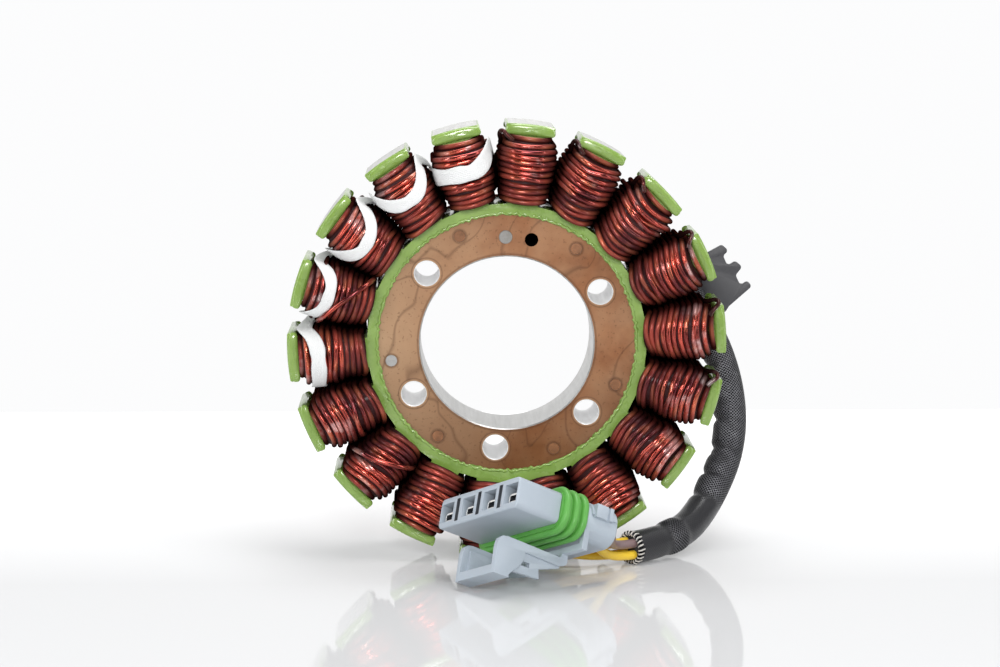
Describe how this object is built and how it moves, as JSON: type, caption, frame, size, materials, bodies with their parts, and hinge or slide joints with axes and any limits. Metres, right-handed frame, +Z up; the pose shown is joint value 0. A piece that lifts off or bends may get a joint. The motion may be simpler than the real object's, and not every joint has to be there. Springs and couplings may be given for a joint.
{
  "type": "wound stator",
  "caption": "Round stator: coils of enamelled wire on coated teeth, central bore, bolt holes, and a sleeved lead ending in a small sealed connector.",
  "frame": {"origin": "on the axis of the central bore, in the plane of the bare front face (the face with the locating pin, seen in the picture)", "axes": "+Y along the bore from the front face to the rear face, where the lead leaves; +Z up with the stator standing on its rim; +X to the right as seen from the front"},
  "size_m": [0.1353, 0.0968, 0.124],
  "materials": {
    "lamination_steel": "varnished and mottled brown on both faces, bare grey on the rim and in the holes",
    "green_coat": "glossy powder coat with rounded edges",
    "fastener_steel": "dull steel",
    "winding": "enamelled round wire under clear varnish",
    "crossover": "enamelled wire",
    "braid": "varnished woven sleeve",
    "phase_leads": "black satin insulation",
    "splice": "woven sleeve",
    "tape": "flat woven tape",
    "clamp": "dark coated steel sheet",
    "connector": "moulded, satin",
    "seal": "satin",
    "contacts": "tinned",
    "yellow_wire": "satin insulation",
    "brown_wire": "satin insulation"
  },
  "bodies": {
    "root": {"core_laminations": "lamination_steel", "epoxy_coat": "green_coat", "core_rivets": "fastener_steel", "locating_pin": "fastener_steel", "coil_01": "winding", "coil_02": "winding", "coil_03": "winding", "coil_04": "winding", "coil_05": "winding", "coil_06": "winding", "coil_07": "winding", "coil_08": "winding", "coil_09": "winding", "coil_10": "winding", "coil_11": "winding", "coil_12": "winding", "coil_13": "winding", "coil_14": "winding", "coil_15": "winding", "coil_16": "winding", "coil_17": "winding", "coil_18": "winding", "crossover_wire_a": "crossover", "crossover_wire_b": "crossover", "crossover_wire_c": "crossover", "phase_wire_1": "phase_leads", "phase_wire_2": "phase_leads", "phase_wire_3": "phase_leads", "phase_wire_4": "phase_leads", "splice_sleeves": "splice", "lacing_tape_14": "tape", "lacing_tape_15": "tape", "lacing_tape_16": "tape", "lacing_tape_17": "tape", "lacing_tape_18": "tape", "clamp_plate": "clamp", "clamp_rivet": "fastener_steel", "lead_sleeve": "braid", "connector_housing": "connector", "connector_seal": "seal", "contact_1": "contacts", "contact_2": "contacts", "contact_3": "contacts", "contact_4": "contacts", "wire_yellow_1": "yellow_wire", "wire_yellow_2": "yellow_wire", "wire_yellow_3": "yellow_wire", "wire_brown": "brown_wire"}
  },
  "joints": []
}
